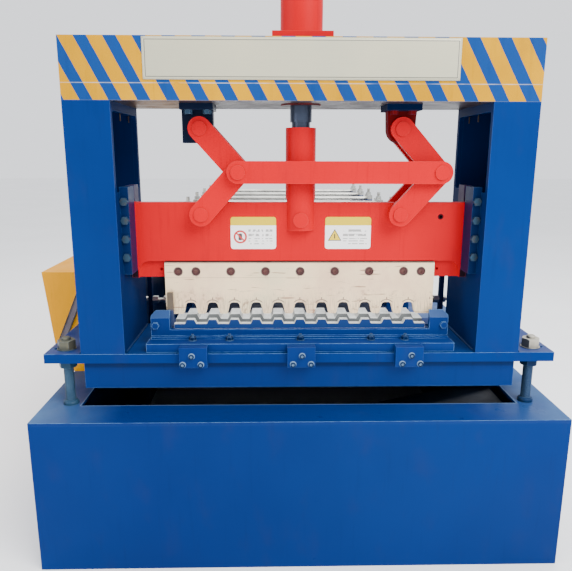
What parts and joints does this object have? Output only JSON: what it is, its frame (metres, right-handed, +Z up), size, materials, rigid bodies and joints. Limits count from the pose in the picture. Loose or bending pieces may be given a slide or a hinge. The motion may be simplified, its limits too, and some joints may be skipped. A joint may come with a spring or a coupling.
{
  "type": "exit end of a sheet roll forming machine: floor bed, hydraulic portal shear with toggle guided ram, six forming stations",
  "caption": "Roll forming machine for corrugated sheet, exit end: long floor bed, portal shear with cylinder, toggle links, wavy blade and dies, forming stations behind.",
  "frame": {"origin": "on the floor under the middle of the bed", "axes": "+Z up, +X to the right seen from the exit end, +Y upstream along the line"},
  "size_m": [1.878, 3.6, 2.039],
  "materials": {
    "blue_paint": "satin",
    "hazard_paint": "satin",
    "red_paint": "satin",
    "yellow_paint": "satin",
    "machined_steel": "brushed",
    "die_steel": "brushed",
    "dark_steel": "satin",
    "zinc_steel": "satin",
    "roll_chrome": "polished",
    "plate_metal": "satin",
    "bare_sheet": "satin"
  },
  "bodies": {
    "frame": {"bed_left_panel": "blue_paint", "bed_right_panel": "blue_paint", "bed_front_panel": "blue_paint", "bed_rear_panel": "blue_paint", "bed_top": "blue_paint", "bed_rails": "blue_paint", "bed_bearers": "blue_paint", "pit_ledge": "blue_paint", "scrap_chute": "bare_sheet", "portal_bed_plate": "blue_paint", "lower_beam": "blue_paint", "left_column": "blue_paint", "right_column": "blue_paint", "beam_front_plate": "hazard_paint", "beam_rear_plate": "blue_paint", "beam_bottom_plate": "blue_paint", "beam_top_plate": "blue_paint", "name_plate": "plate_metal", "levelling_studs": "zinc_steel", "left_guide_keeper": "blue_paint", "right_guide_keeper": "blue_paint", "left_guide_liner": "red_paint", "right_guide_liner": "red_paint", "front_die": "die_steel", "rear_die": "die_steel", "front_die_holder": "blue_paint", "rear_die_holder": "blue_paint", "die_clamps": "blue_paint", "left_hanger": "red_paint", "right_hanger": "red_paint", "hanger_pins": "red_paint", "cylinder_barrel": "red_paint", "left_stands": "blue_paint", "right_stands": "blue_paint", "lower_shafts": "zinc_steel", "upper_shafts": "zinc_steel", "lower_rolls": "roll_chrome", "upper_rolls": "roll_chrome", "stand_tie_bars": "zinc_steel", "drive_guard": "yellow_paint", "guard_back_plate": "blue_paint", "guard_stay": "dark_steel", "edge_guide": "machined_steel", "side_guide_posts": "blue_paint", "side_guide_bolts": "zinc_steel"},
    "ram": {"ram": "red_paint", "upper_blade": "machined_steel", "blade_screws": "dark_steel", "ram_pins": "red_paint", "cylinder_rod": "dark_steel", "rod_end": "red_paint", "rod_end_pin": "red_paint"},
    "left_upper_link": {"left_upper_links": "red_paint", "left_knee_pin": "red_paint"},
    "right_upper_link": {"right_upper_links": "red_paint", "right_knee_pin": "red_paint"},
    "left_lower_link": {"left_lower_links": "red_paint"},
    "right_lower_link": {"right_lower_links": "red_paint"},
    "tie_bar": {"tie_bar": "red_paint"}
  },
  "joints": [
    {"name": "ram_slide", "type": "slide", "parent": "frame", "child": "ram", "axis": [0, 0, -1], "range_m": [0, 0.045]},
    {"name": "left_upper_link_hinge", "type": "hinge", "parent": "frame", "child": "left_upper_link", "pos_m": [-0.332, -1.55, 1.476], "axis": [0, 1, 0], "range_deg": [0, 11.42]},
    {"name": "left_lower_link_hinge", "type": "hinge", "parent": "ram", "child": "left_lower_link", "pos_m": [-0.332, -1.55, 1.198], "axis": [0, -1, 0], "range_deg": [0, 11.42]},
    {"name": "right_upper_link_hinge", "type": "hinge", "parent": "frame", "child": "right_upper_link", "pos_m": [0.332, -1.55, 1.476], "axis": [0, 1, 0], "range_deg": [0, 11.42]},
    {"name": "right_lower_link_hinge", "type": "hinge", "parent": "ram", "child": "right_lower_link", "pos_m": [0.332, -1.55, 1.198], "axis": [0, -1, 0], "range_deg": [0, 11.42]},
    {"name": "tie_bar_hinge", "type": "hinge", "parent": "left_upper_link", "child": "tie_bar", "pos_m": [-0.20691, -1.55, 1.337], "axis": [0, -1, 0], "range_deg": [0, 11.42]}
  ],
  "couplings": [
    {"joint": "left_upper_link_hinge", "follows": "ram_slide", "rad_per_m": 4.423},
    {"joint": "left_lower_link_hinge", "follows": "ram_slide", "rad_per_m": 4.423},
    {"joint": "right_upper_link_hinge", "follows": "ram_slide", "rad_per_m": 4.423},
    {"joint": "right_lower_link_hinge", "follows": "ram_slide", "rad_per_m": 4.423},
    {"joint": "tie_bar_hinge", "follows": "ram_slide", "rad_per_m": 4.423}
  ]
}
